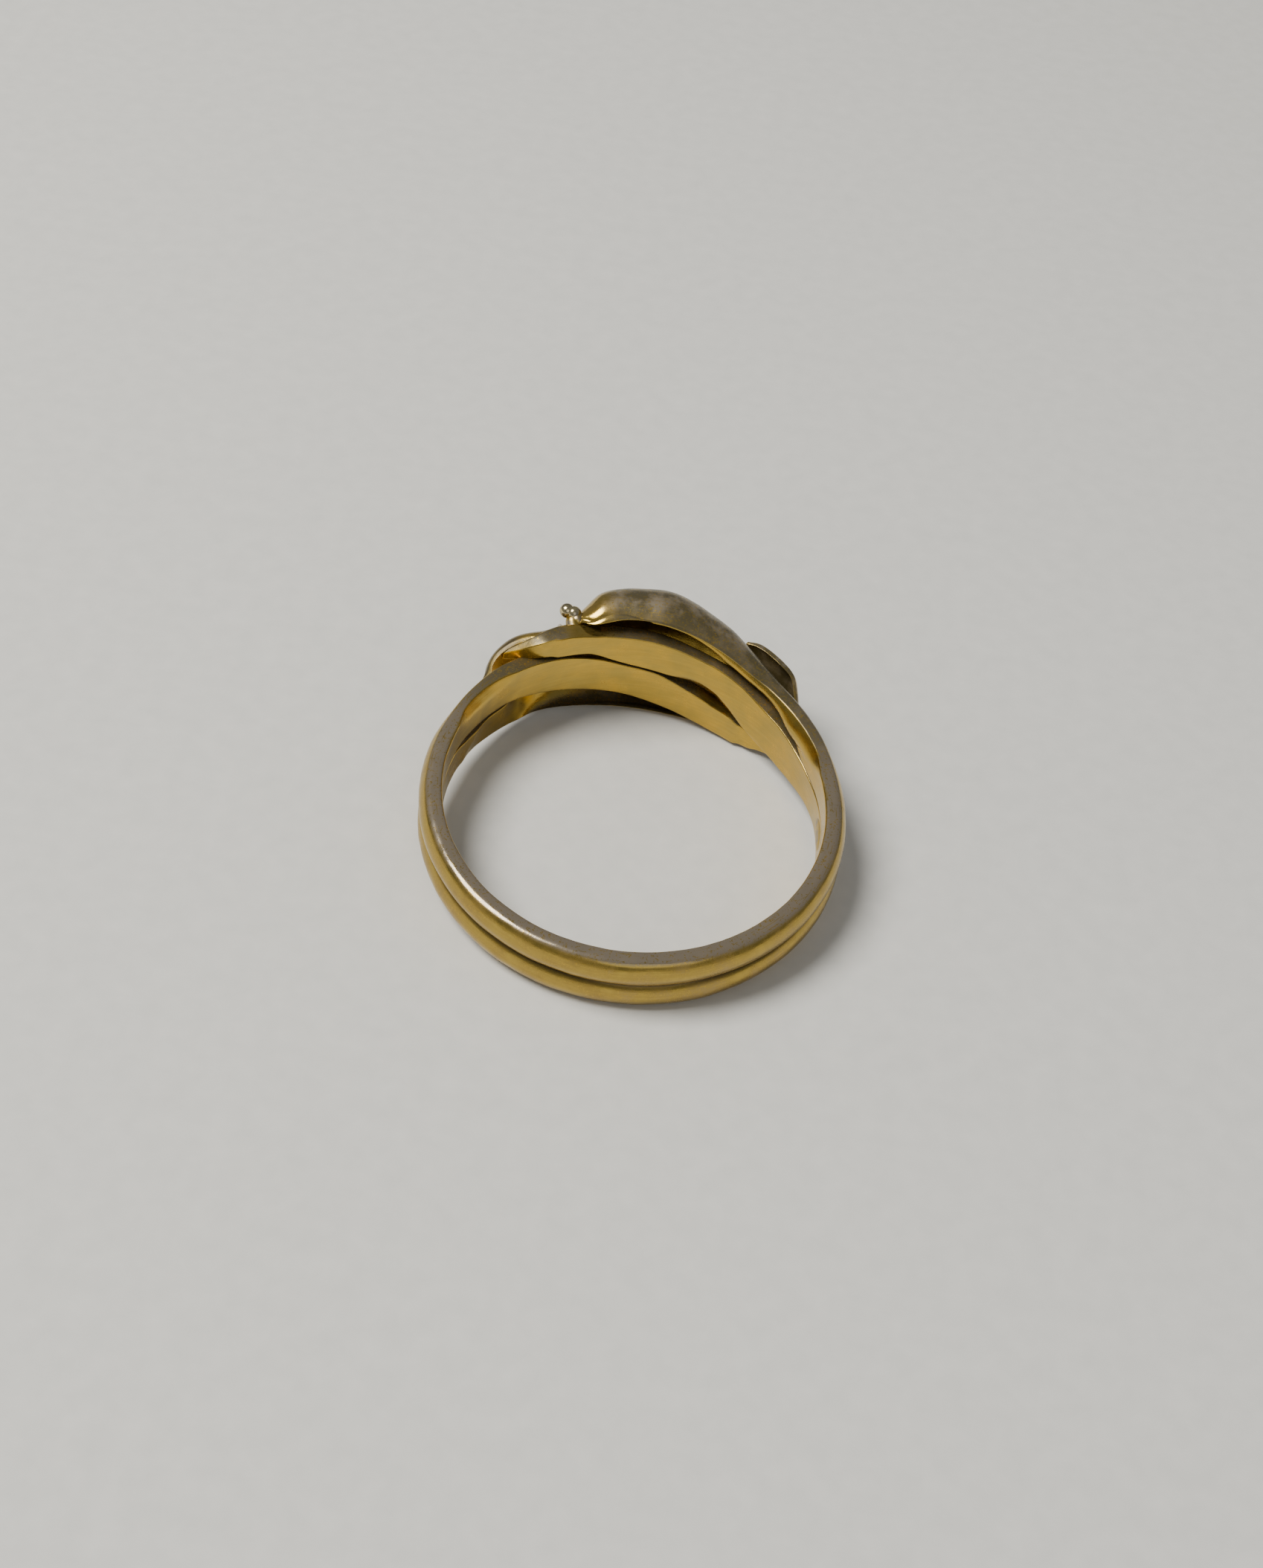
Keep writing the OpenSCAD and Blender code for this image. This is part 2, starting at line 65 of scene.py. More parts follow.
# Each row is the cut through a strand at one angle round the finger, in degrees from the front and mm:
# angle; distance out from the hole's wall and height of the outer face's upper edge, then of its lower edge;
# rise of the outer face; thickness at the upper and at the lower edge; rise of the inner face;
# 0.5 for an elliptic face, up to 1 for a flatter one
COLUMNS = ("angle", "out_top", "z_top", "out_low", "z_low", "crown", "t_top", "t_low", "hollow", "shape")
STRANDS = {
    "upper_leaf": (
        (-24.5, 1.28, 2.5, 1.38, 2.15, 0.1, 0.16, 0.2, 0, 0.5),
        (-22, 0.98, 2.74, 1.74, 1.7, 0.42, 0.26, 0.28, 0.2, 0.5),
        (-19.5, 0.64, 2.85, 2.05, 1.32, 0.85, 0.22, 0.36, 0.5, 0.5),
        (-16, 0.54, 2.99, 2.35, 0.95, 1.35, 0.18, 0.42, 0.9, 0.5),
        (-11, 0.58, 3.08, 2.55, 0.6, 1.56, 0.15, 0.42, 1.2, 0.5),
        (-5, 0.55, 3.15, 2.65, 0.28, 1.7, 0.15, 0.42, 1.35, 0.5),
        (1, 0.5, 3.12, 2.7, 0.03, 1.82, 0.15, 0.42, 1.45, 0.5),
        (7, 0.47, 2.98, 2.6, -0.22, 1.74, 0.16, 0.42, 1.35, 0.5),
        (13, 0.49, 2.77, 2.35, -0.5, 1.58, 0.17, 0.42, 1.15, 0.5),
        (19, 0.55, 2.49, 2, -0.8, 1.48, 0.2, 0.45, 1.08, 0.5),
        (24, 0.61, 2.23, 1.55, -0.78, 1.31, 0.25, 0.42, 0.98, 0.5),
        (30, 0.68, 1.95, 1.38, -0.68, 0.98, 0.32, 0.36, 0.8, 0.5),
        (34, 0.76, 1.8, 1.28, -0.25, 0.72, 0.34, 0.28, 0.55, 0.5),
        (38, 0.84, 1.7, 1.2, 0.25, 0.46, 0.38, 0.24, 0.3, 0.6),
        (42, 0.9, 1.63, 1.1, 0.74, 0.28, 0.45, 0.26, 0.1, 0.7),
        (48, 0.92, 1.6, 1, 0.56, 0.26, 0.5, 0.6, 0, 0.8),
        (56, 0.85, 1.6, 0.9, 0.28, 0.26, 0.5, 0.8, 0, 0.8),
        (66, 0.76, 1.6, 0.76, 0.08, 0.3, 0.55, 1, 0, 0.9),
        (80, 0.66, 1.59, 0.65, 0.04, 0.38, 0.9, 1.05, 0, 0.9),
        (90, 0.62, 1.57, 0.62, 0.04, 0.38, 1.05, 1.05, 0, 0.9),
    ),
    "lower_leaf": (
        (-90, 0.62, -0.04, 0.62, -1.57, 0.38, 1.05, 1.05, 0, 0.9),
        (-80, 0.65, -0.12, 0.66, -1.6, 0.36, 1.05, 0.9, 0, 0.9),
        (-68, 0.68, -0.5, 0.7, -1.85, 0.27, 0.8, 0.62, 0, 0.9),
        (-56, 0.76, -0.75, 0.74, -2.2, 0.22, 0.6, 0.6, 0, 0.8),
        (-48, 0.88, -0.92, 0.78, -2.5, 0.24, 0.55, 0.5, 0, 0.7),
        (-42, 1.08, -0.92, 0.82, -2.62, 0.36, 0.24, 0.5, 0.05, 0.6),
        (-38, 1.2, -0.3, 0.8, -2.68, 0.46, 0.24, 0.38, 0.3, 0.55),
        (-34, 1.28, 0.25, 0.76, -2.71, 0.72, 0.28, 0.34, 0.55, 0.5),
        (-30, 1.38, 0.62, 0.68, -2.74, 0.98, 0.36, 0.32, 0.8, 0.5),
        (-24, 1.55, 0.68, 0.58, -2.82, 1.32, 0.42, 0.28, 0.98, 0.5),
        (-19, 2, 0.8, 0.5, -2.9, 1.5, 0.42, 0.24, 1.08, 0.5),
        (-13, 2.35, 0.5, 0.44, -2.98, 1.6, 0.42, 0.22, 1.15, 0.5),
        (-7, 2.6, 0.22, 0.42, -3.06, 1.8, 0.42, 0.22, 1.35, 0.5),
        (-1, 2.7, -0.03, 0.42, -3.12, 1.9, 0.42, 0.22, 1.45, 0.5),
        (5, 2.65, -0.28, 0.42, -3.12, 1.8, 0.42, 0.22, 1.35, 0.5),
        (11, 2.55, -0.6, 0.44, -3.1, 1.65, 0.42, 0.22, 1.2, 0.5),
        (16, 2.35, -0.95, 0.6, -3.08, 1.3, 0.42, 0.28, 0.88, 0.5),
        (19.5, 2.05, -1.4, 1.12, -3.05, 0.8, 0.36, 0.3, 0.48, 0.5),
        (22, 1.74, -1.8, 1.44, -2.85, 0.4, 0.28, 0.2, 0.2, 0.5),
        (24.5, 1.52, -2.2, 1.5, -2.55, 0.1, 0.2, 0.16, 0, 0.5),
    ),
    "rising_tongue": (
        (-45, 1.5, 1.68, 1.52, 1.22, 0.05, 0.24, 0.24, 0, 0.8),
        (-42, 1.22, 2.04, 1.26, 1.36, 0.05, 0.44, 0.46, 0, 0.8),
        (-39, 0.97, 2.4, 1.02, 1.46, 0.06, 0.56, 0.58, 0, 0.8),
        (-36, 0.84, 2.64, 0.9, 1.5, 0.1, 0.66, 0.68, 0, 0.8),
        (-33, 0.88, 2.7, 0.88, 1.48, 0.1, 0.78, 0.78, 0, 0.8),
        (-28, 0.94, 2.68, 0.9, 1.38, 0.1, 1.2, 1.2, 0, 0.8),
        (-23.5, 0.9, 2.58, 0.9, 1.3, 0.1, 1.2, 1.2, 0, 0.8),
        (-20, 0.84, 2.48, 0.88, 1.18, 0.1, 1.2, 1.2, 0, 0.8),
        (-12, 0.82, 2.32, 0.82, 0.58, 0.1, 1.2, 1.2, 0, 0.9),
        (-4, 0.82, 2.16, 0.82, 0.22, 0.1, 1.2, 1, 0, 0.9),
        (4, 0.72, 1.98, 0.82, -0.02, 0.1, 1.2, 0.84, 0, 0.9),
        (12, 0.63, 1.74, 0.82, -0.18, 0.1, 1.2, 0.68, 0, 0.9),
        (20, 0.6, 1.52, 0.82, -0.56, 0.1, 1.2, 0.64, 0, 0.9),
        (29, 0.66, 1.15, 0.8, -1.3, 0.1, 1.2, 0.74, 0, 0.9),
        (38, 0.72, 0.68, 0.76, -1.88, 0.12, 1.2, 0.9, 0, 0.9),
        (48, 0.72, 0.4, 0.7, -2.12, 0.2, 1.2, 1.2, 0, 0.9),
        (57, 0.7, 0.1, 0.68, -2.05, 0.28, 1.2, 1.2, 0, 0.9),
        (67, 0.68, -0.06, 0.66, -1.75, 0.35, 1.2, 1.2, 0, 0.9),
        (80, 0.65, -0.04, 0.65, -1.6, 0.38, 1.2, 1.2, 0, 0.9),
        (90, 0.62, -0.04, 0.62, -1.57, 0.38, 1.2, 1.2, 0, 0.9),
    ),
    "falling_tongue": (
        (-90, 0.62, 1.57, 0.62, 0.04, 0.38, 1.2, 1.2, 0, 0.9),
        (-80, 0.66, 1.6, 0.65, 0.02, 0.34, 0.85, 1.2, 0, 0.9),
        (-69, 0.68, 1.63, 0.68, -0.1, 0.22, 0.45, 1.2, 0, 0.9),
        (-58, 0.74, 1.66, 0.72, -0.28, 0.12, 0.5, 1.2, 0, 0.9),
        (-48, 0.82, 1.62, 0.82, -0.42, 0.1, 0.75, 1.2, 0, 0.9),
        (-38, 0.82, 1.46, 0.82, -0.75, 0.1, 1.1, 1.2, 0, 0.9),
        (-28, 0.82, 1.2, 0.82, -1.1, 0.1, 1.2, 1.2, 0, 0.9),
        (-18, 0.82, 0.76, 0.82, -1.47, 0.1, 1.2, 1.2, 0, 0.9),
        (-8, 0.82, 0.24, 0.82, -1.86, 0.1, 1.2, 1.2, 0, 0.9),
        (2, 0.82, -0.16, 0.82, -2.31, 0.1, 1.2, 1.2, 0, 0.9),
        (12, 0.82, -0.82, 0.82, -2.74, 0.1, 1.2, 1.2, 0, 0.9),
        (20, 0.82, -1.2, 0.82, -2.98, 0.1, 1.2, 1.2, 0, 0.8),
        (26, 0.8, -1.36, 0.8, -3.06, 0.1, 1.2, 1.2, 0, 0.8),
        (31, 0.78, -1.66, 0.74, -3.04, 0.1, 0.7, 0.64, 0, 0.8),
        (35, 0.76, -1.9, 0.7, -2.94, 0.1, 0.52, 0.52, 0, 0.8),
        (38, 0.74, -2.08, 0.72, -2.78, 0.08, 0.42, 0.42, 0, 0.8),
        (41, 0.76, -2.2, 0.76, -2.66, 0.06, 0.36, 0.36, 0, 0.8),
        (44.5, 0.78, -2.26, 0.8, -2.46, 0.03, 0.3, 0.3, 0, 0.8),
    ),
    "left_bud": (
        (-52.5, 1.22, 0.8, 1.28, 0.4, 0.06, 0.2, 0.2, 0, 0.5),
        (-51, 1.28, 1, 1.42, 0.05, 0.14, 0.28, 0.22, 0.12, 0.5),
        (-49, 1.46, 1.28, 1.62, -0.2, 0.24, 0.2, 0.22, 0.18, 0.5),
        (-46, 1.52, 1.64, 1.95, -0.65, 0.36, 0.19, 0.22, 0.46, 0.5),
        (-42, 1.34, 2.04, 2.3, -1.2, 0.58, 0.19, 0.22, 0.7, 0.5),
        (-39.5, 1.08, 2.32, 2.42, -1.4, 0.68, 0.2, 0.24, 0.8, 0.5),
        (-37, 0.74, 2.54, 2.52, -1.5, 0.74, 0.22, 0.24, 0.78, 0.5),
        (-33, 0.54, 2.62, 2.52, -1.5, 0.66, 0.28, 0.26, 0.7, 0.5),
        (-30, 0.54, 2.58, 2.62, -1.46, 0.66, 0.28, 0.26, 0.64, 0.5),
        (-28.5, 0.66, 2.48, 2.72, -1.24, 0.6, 0.28, 0.26, 0.58, 0.5),
        (-27.2, 1.24, 2.05, 2.78, -1.16, 0.46, 0.3, 0.26, 0.42, 0.5),
        (-25.6, 2.2, 1.2, 2.82, -1.08, 0.3, 0.28, 0.24, 0.24, 0.5),
        (-24, 2.68, -0.1, 2.76, -0.85, 0.05, 0.18, 0.18, 0, 0.5),
    ),
    "right_bud": (
        (22.5, 2.74, 1.26, 2.64, 0.6, 0.05, 0.18, 0.18, 0, 0.5),
        (25, 2.84, 1.32, 2.4, -0.9, 0.26, 0.24, 0.28, 0.2, 0.5),
        (27.2, 2.8, 1.36, 1.3, -2.4, 0.48, 0.26, 0.3, 0.42, 0.5),
        (28.5, 2.74, 1.38, 0.7, -2.88, 0.6, 0.26, 0.28, 0.56, 0.5),
        (30, 2.66, 1.4, 0.54, -2.96, 0.66, 0.26, 0.28, 0.64, 0.5),
        (33, 2.52, 1.4, 0.54, -2.92, 0.72, 0.26, 0.28, 0.72, 0.5),
        (37, 2.44, 1.1, 0.58, -2.8, 0.75, 0.22, 0.28, 0.78, 0.5),
        (40, 2.1, 0.7, 0.7, -2.62, 0.62, 0.22, 0.28, 0.62, 0.5),
        (42.5, 1.8, 0.25, 0.86, -2.46, 0.46, 0.22, 0.28, 0.42, 0.5),
        (45, 1.52, -0.35, 1.1, -2.1, 0.26, 0.2, 0.24, 0.18, 0.5),
        (47, 1.38, -0.95, 1.22, -1.7, 0.08, 0.18, 0.18, 0, 0.5),
    ),
}
# Beads of the upper pair: angle, distance out and height; the neck of solder runs from foot to head
BEADS = ((-25.5, 1.75, 2.70), (-23.9, 1.55, 2.64))
NECK_FOOT = (-24.6, 0.65, 2.00)
NECK_HEAD = (-24.6, 1.55, 2.58)
NECK_RINGS = 17
NECK_SIDES = 32
# Lumps of melted solder: angle, distance out and height of the middle, then half sizes in mm along the band,
# outwards and upwards. One joins each pair of beads to the tip of its leaf, one lies on the inner wall at the
# right shoulder, and the last is a small tab in the left bud.
LUMPS = (
    (-23.4, 1.32, 2.48, 0.36, 0.44, 0.34),
    (23.4, 1.32, -2.48, 0.36, 0.44, 0.34),
    (84, 0.06, -0.72, 1, 0.16, 0.6),
    (-34.2, 0.74, 0.84, 0.6, 0.12, 0.26),
)

# Metal worn off the corners of each strand's sections in mm: outside, then towards the finger
WEAR = {
    "upper_leaf": (0.10, 0.06), "lower_leaf": (0.10, 0.06),
    "rising_tongue": (0.12, 0.07), "falling_tongue": (0.12, 0.07),
    "left_bud": (0.12, 0.06), "right_bud": (0.12, 0.06),
}
# No worn corner takes more than this share of a side
LARGEST_CUT = 0.32
# Points along the four sides of a section (outer face, lower edge, inner face, upper edge) and at a corner,
# and degrees from one section to the next
SIDE_STEPS = (20, 3, 14, 3)
CORNER_STEPS = 4
SECTION_ANGLE = 0.8
# The upper leaf's inner wall stands upright under its rim: angles where that starts and where it is in full,
# and mm that it reaches down and leans in. Between four more angles, where the tongue leaves the leaf, it
# reaches and leans further.
UPRIGHT_ANGLES = (-14, -2)
LEAVING_ANGLES = (8, 22, 50, 66)
REACH, LEAVING_REACH = 0.9, 0.4
LEAN, LEAVING_LEAN = 0.12, 0.20
# Turn of the surface, in radians, that counts as a full edge, and one that is a corner at a shoulder's joint
FULL_EDGE = 0.30
JOINT_CORNER = 1.2
# Half the width of the joint at each shoulder
JOINT_WIDTH = math.radians(0.9)

# The camera, fitted to the two rims of the finger hole: place in mm and line of sight in the ring's own
# frame, focal length in mm and roll
EYE = Vector((-0.224, -64.125, 81.065))
SIGHT = Vector((0.0, 0.6303, -0.7764))
LENS = 50.72
SENSOR = 36.0
ROLL = math.radians(8.65)
# Half the floor's width, and how bright the fill light is for a key light of 1
FLOOR_REACH = 0.6
FILL_SHARE = 0.07


class RingSizes(bpy.types.PropertyGroup):
    """Sizes of the bands, the beads and the worn edges."""

    edge_thickness: bpy.props.FloatProperty(
        name="Edge thickness", description="Thickness of a band at its edges",
        default=0.65 * MM, unit="LENGTH", precision=5)
    crown: bpy.props.FloatProperty(
        name="Crown", description="Rise of a band's round face above its edges",
        default=0.42 * MM, unit="LENGTH", precision=5)
    bands_width: bpy.props.FloatProperty(
        name="Bands' width", description="Width of the two bands together at the back",
        default=3.2 * MM, unit="LENGTH", precision=5)
    solder_overlap: bpy.props.FloatProperty(
        name="Solder overlap", description="Overlap of the bands where they are soldered",
        default=0.16 * MM, unit="LENGTH", precision=5)
    shoulder_angle: bpy.props.FloatProperty(
        name="Shoulder angle", description="Angle from the front at which the shank ends, each side",
        default=math.radians(84), subtype="ANGLE")
    blend_angle: bpy.props.FloatProperty(
        name="Blend angle", description="Angle from which a strand takes on the shank's section",
        default=math.radians(68), subtype="ANGLE")
    outer_wear: bpy.props.FloatProperty(
        name="Outer wear", description="Metal worn off the outer corners of a section",
        default=0.30 * MM, unit="LENGTH", precision=5)
    inner_wear: bpy.props.FloatProperty(
        name="Inner wear", description="Metal worn off the corners towards the finger",
        default=0.20 * MM, unit="LENGTH", precision=5)
    unevenness: bpy.props.FloatProperty(
        name="Unevenness", description="How far the handmade surface wanders from its true shape",
        default=0.022 * MM, unit="LENGTH", precision=6)
    bead_diameter: bpy.props.FloatProperty(
        name="Bead diameter", description="Diameter of a small bead",
        default=0.74 * MM, unit="LENGTH", precision=5)
    neck_diameter: bpy.props.FloatProperty(
        name="Neck diameter", description="Diameter of the neck of solder at its foot",
        default=1.0 * MM, unit="LENGTH", precision=5)


class RingFinish(bpy.types.PropertyGroup):
    """Colours of the worn gold, with a painted glow and painted shade."""

    gold: bpy.props.StringProperty(
        name="Gold", description="Satin gold where fingers keep it clean, as an sRGB hex value",
        default="#B4994B")
    # Deep gold: a deeper tone in clouds of the clean gold, and the painted glow of light bounced inside the
    # left bud's hollow
    deep_gold_and_glow: bpy.props.StringProperty(
        name="Deep gold and glow", description="Deeper gold in clouds, and a painted glow of bounced light in the left bud's hollow, sRGB hex",
        default="#FFC530")
    # The patina is real; on the leaf's dome it is also darkened as a painted dark reflection of the room
    patina: bpy.props.StringProperty(
        name="Patina", description="Brown-grey patina on the leaf, the buds and the rims, sRGB hex",
        default="#5A5340")
    cloud: bpy.props.StringProperty(
        name="Cloud", description="Pinkish beige clouds in the patina and on melted gold, sRGB hex",
        default="#9C907E")
    # Painted shade: a dark colour painted in the groove between the bands and, weaker, on the left bud's lip
    shade_colour: bpy.props.StringProperty(
        name="Painted shade", description="Dark dirt in the groove between the bands, sRGB hex",
        default="#2B1D0C")
    rim: bpy.props.StringProperty(
        name="Rim", description="Grey bloom on the rims of the shank, sRGB hex",
        default="#857B6E")
    bead: bpy.props.StringProperty(
        name="Bead", description="Pale bright gold of the melted beads, sRGB hex",
        default="#DCCB98")


class StageSettings(bpy.types.PropertyGroup):
    """Floor and light."""

    floor_colour: bpy.props.StringProperty(
        name="Floor colour", description="Plain pale floor, as an sRGB hex value", default="#D3D2CC")
    key_power: bpy.props.FloatProperty(
        name="Key power", description="Power of the large soft light", default=2.62, min=0.0)
    room: bpy.props.FloatProperty(
        name="Room", description="Brightness of the plain surroundings", default=0.225, min=0.0)


def linear(hex_value):
    """An sRGB hex value as a linear colour with full alpha."""
    value = hex_value.lstrip("#")
    shades = [int(value[i:i + 2], 16) / 255 for i in (0, 2, 4)]
    return tuple(s / 12.92 if s <= 0.04045 else ((s + 0.055) / 1.055) ** 2.4 for s in shades) + (1.0,)


def add(tree, kind, inputs=None, **settings):
    """Add a node with its settings, and set or link its inputs."""
    made = tree.nodes.new(kind)
    for name, value in settings.items():
        setattr(made, name, value)
    for key, value in (inputs or {}).items():
        if isinstance(value, bpy.types.NodeSocket):
            tree.links.new(value, made.inputs[key])
        else:
            made.inputs[key].default_value = value
    return made


# ---- shapes ----

def rows_at(name, angles):
    """Smooth values of a strand's columns at some angles, through the rows of its table."""
    table = np.array(STRANDS[name], dtype=float)
    at = table[:, 0]
    slopes = np.empty_like(table)
    slopes[1:-1] = (table[2:] - table[:-2]) / (at[2:] - at[:-2])[:, None]
    slopes[0] = (table[1] - table[0]) / (at[1] - at[0])
    slopes[-1] = (table[-1] - table[-2]) / (at[-1] - at[-2])
    i = np.clip(np.searchsorted(at, angles, side="left") - 1, 0, len(at) - 2)
    span = (at[i + 1] - at[i])[:, None]
    s = ((angles - at[i]) / span[:, 0])[:, None]
    values = ((2 * s ** 3 - 3 * s ** 2 + 1) * table[i] + (s ** 3 - 2 * s ** 2 + s) * span * slopes[i]
              + (3 * s ** 2 - 2 * s ** 3) * table[i + 1] + (s ** 3 - s ** 2) * span * slopes[i + 1])
    return [dict(zip(COLUMNS, row)) for row in values]


def bulged(top, low, rise, shape, count=48):
    """A line from one point to the other that bulges away from the finger."""
    turn = np.linspace(0.0, math.pi, count + 1)
    half = (top - low) / 2
    outward = np.array([half[1], -half[0]]) / np.linalg.norm(half)
    bulge = rise * np.clip(np.sin(turn), 0, 1) ** (2 * shape)
    return (top + low) / 2 + np.outer(np.cos(turn), half) + np.outer(bulge, outward)


def trimmed(line, before, after, count):
    """The line without a length at each end, as evenly spread points."""
    steps = np.linalg.norm(np.diff(line, axis=0), axis=1)
    run = np.concatenate([[0.0], np.cumsum(steps)])
    at = np.linspace(before, run[-1] - after, count + 1)
    return np.stack([np.interp(at, run, line[:, k]) for k in (0, 1)], axis=1)


def risen(value, none, full):
    """How far a value has come from where the share is 0 to where it is 1."""
    return min(max((value - none) / (full - none), 0.0), 1.0)


def outline(row, outer_wear, inner_wear, upright=0.0, lean=0.0, reach=REACH):
    """The closed outline of a section with worn corners: out and height in mm.

    With upright at 1, the inner face stands upright, or leans towards the finger, as far as its reach
    below the section's upper edge.
    """
    top = np.array([row["out_top"], row["z_top"]])
    low = np.array([row["out_low"], row["z_low"]])
    inner = bulged(top - [row["t_top"], 0], low - [row["t_low"], 0], row["hollow"],
                   row["shape"] + 0.5 * upright)[::-1]
    below = np.clip((inner[-1, 1] - inner[:, 1]) / reach, 0, 1)
    wall = inner[-1, 0] + (inner[:, 0] - inner[-1, 0]) * below * below * (3 - 2 * below)
    wall -= lean * np.sin(math.pi * below)
    inner[:, 0] = np.maximum(inner[:, 0] + upright * (wall - inner[:, 0]), 0.0)
    outer = bulged(top, low, row["crown"], row["shape"])
    sides = [outer, np.array([outer[-1], inner[0]]), inner, np.array([inner[-1], outer[0]])]
    lengths = [np.linalg.norm(np.diff(s, axis=0), axis=1).sum() for s in sides]
    wear = (outer_wear, inner_wear, inner_wear, outer_wear)
    cuts = [min(wear[k], LARGEST_CUT * lengths[k], LARGEST_CUT * lengths[(k + 1) % 4]) for k in range(4)]
    lines = [trimmed(sides[k], cuts[k - 1], cuts[k], SIDE_STEPS[k]) for k in range(4)]
    points = []
    for k in range(4):
        start, corner, end = lines[k][-1], sides[k][-1], lines[(k + 1) % 4][0]
        points.extend(lines[k])
        for s in np.linspace(0, 1, CORNER_STEPS + 1)[1:-1]:
            points.append((1 - s) ** 2 * start + 2 * s * (1 - s) * corner + s ** 2 * end)
    return np.array(points)


def shank_outline(sizes, upper):
    """The outline of one band of the shank."""
    half = sizes.bands_width / MM / 2
    lap = sizes.solder_overlap / MM / 2
    thick = sizes.edge_thickness / MM
    top, low = (half, -lap) if upper else (lap, -half)
    row = {"out_top": thick, "z_top": top, "out_low": thick, "z_low": low, "crown": sizes.crown / MM,
           "t_top": thick, "t_low": thick, "hollow": 0.0, "shape": 0.9}
    return outline(row, sizes.outer_wear / MM, sizes.inner_wear / MM)


def wandered(point, amount):
    """A point of the ring in mm, moved a little, as on handmade metal, in waves of about 2 mm and 0.5 mm."""
    slow = noise.noise_vector(point * 0.55 + Vector((3.1, 7.7, 1.3)))
    quick = noise.noise_vector(point * 2.1 + Vector((9.4, 0.6, 5.2)))
    return point + (slow + quick * 0.35) * amount


def laid_down(mesh, amount):
    """Bring a mesh from the ring's own frame, in mm, to where the ring lies, in metres, and shade it smooth."""
    for vertex in mesh.vertices:
        vertex.co = LIE @ (wandered(vertex.co.copy(), amount) * MM)
    mesh.polygons.foreach_set("use_smooth", [True] * len(mesh.polygons))
    mesh.update()


def round_the_finger(angle, out, height):
    """Angle in degrees, distance out and height in mm to a point in the ring's own frame."""
    turn = math.radians(angle)
    return Vector(((BORE + out) * math.sin(turn), (BORE + out) * math.cos(turn), height))


def settled(context, piece):
    """Link a finished piece, let it ride on the ring's body and stand for its node."""
    if piece.name not in context.scene.collection.objects:
        context.scene.collection.objects.link(piece)
    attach(piece, "root")
    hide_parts("ring")


def rounded_end(loops, first):
    """Add a few smaller loops to one end of a strand, over half a degree, like a filed tip."""
    angle, loop = loops[0] if first else loops[-1]
    middle = loop.mean(axis=0)
    for height in (0.5, 0.8, 0.95):
        step = height * 0.5 * (-1 if first else 1)
        ring = (angle + step, middle + (loop - middle) * math.sqrt(1 - height * height))
        loops = [ring] + loops if first else loops + [ring]
    return loops


def strand_mesh(name, sizes):
    """One strand, with filed tips, or an end at the shoulder where it has taken on the shank's section."""
    table = STRANDS[name]
    shoulder = math.degrees(sizes.shoulder_angle)
    blend = math.degrees(sizes.blend_angle)
    first, last = max(table[0][0], -shoulder), min(table[-1][0], shoulder)
    angles = np.linspace(first, last, round((last - first) / SECTION_ANGLE) + 1)
    upper = name in ("upper_leaf", "falling_tongue")
    end = shank_outline(sizes, upper)
    loops = []
    begins, full, still, gone = LEAVING_ANGLES
    for row in rows_at(name, angles):
        angle = row["angle"]
        upright = risen(angle, *UPRIGHT_ANGLES) if name == "upper_leaf" else 0.0
        leaving = risen(angle, begins, full) * risen(angle, gone, still)
        share = risen(abs(angle), blend, shoulder)
        share = share * share * (3 - 2 * share)
        own = outline(row, *WEAR[name], upright, LEAN + LEAVING_LEAN * leaving, REACH + LEAVING_REACH * leaving)
        loops.append((angle, (1 - share) * own + share * end))
    if first > -shoulder:
        loops = rounded_end(loops, True)
    if last < shoulder:
        loops = rounded_end(loops, False)
    mesh = bpy.data.meshes.new(name)
    shape = bmesh.new()
    rings = [[shape.verts.new(round_the_finger(a, p[0], p[1])) for p in loop] for a, loop in loops]
    count = len(rings[0])
    for one, two in zip(rings, rings[1:]):
        for j in range(count):
            k = (j + 1) % count
            shape.faces.new((one[j], two[j], two[k], one[k]))
    for ring, (a, loop) in ((rings[0], loops[0]), (rings[-1], loops[-1])):
        pole = shape.verts.new(round_the_finger(a, *loop.mean(axis=0)))
        for j in range(count):
            k = (j + 1) % count
            corners = (pole, ring[j], ring[k]) if ring is rings[0] else (pole, ring[k], ring[j])
            shape.faces.new(corners)
    shape.normal_update()
    if shape.calc_volume(signed=True) < 0:
        bmesh.ops.reverse_faces(shape, faces=shape.faces)
    shape.to_mesh(mesh)
    shape.free()
    return mesh


def mark_edges(mesh, shoulder):
    """Keep how sharply the surface turns outwards at each point, for the wear along edges.

    The joints at the shoulders are soldered flush and show no wear.
    """
    shape = bmesh.new()
    shape.from_mesh(mesh)
    sharp = np.zeros(len(shape.verts))
    for edge in shape.edges:
        if len(edge.link_faces) == 2:
            turn = max(edge.calc_face_angle_signed(0.0), 0.0)
            for vertex in edge.verts:
                sharp[vertex.index] = max(sharp[vertex.index], turn)
    # The wear spreads to the neighbours, twice
    links = np.array([[v.index for v in e.verts] for e in shape.edges])
    for _ in range(2):
        total, count = sharp.copy(), np.ones(len(sharp))
        np.add.at(total, links[:, 0], sharp[links[:, 1]])
        np.add.at(total, links[:, 1], sharp[links[:, 0]])
        np.add.at(count, links[:, 0], 1)
        np.add.at(count, links[:, 1], 1)
        sharp = total / count
    ring = LIE.inverted()
    for vertex in shape.verts:
        place = ring @ vertex.co
        if abs(abs(math.atan2(place.x, place.y)) - shoulder) < JOINT_WIDTH:
            sharp[vertex.index] = 0.0
            for edge in vertex.link_edges:
                if edge.calc_face_angle(0.0) > JOINT_CORNER:
                    edge.smooth = False
    shape.to_mesh(mesh)
    shape.free()
    wear = mesh.attributes.new("edge_wear", "FLOAT", "POINT")
    wear.data.foreach_set("value", np.clip(sharp / FULL_EDGE, 0, 1).astype(np.float32))


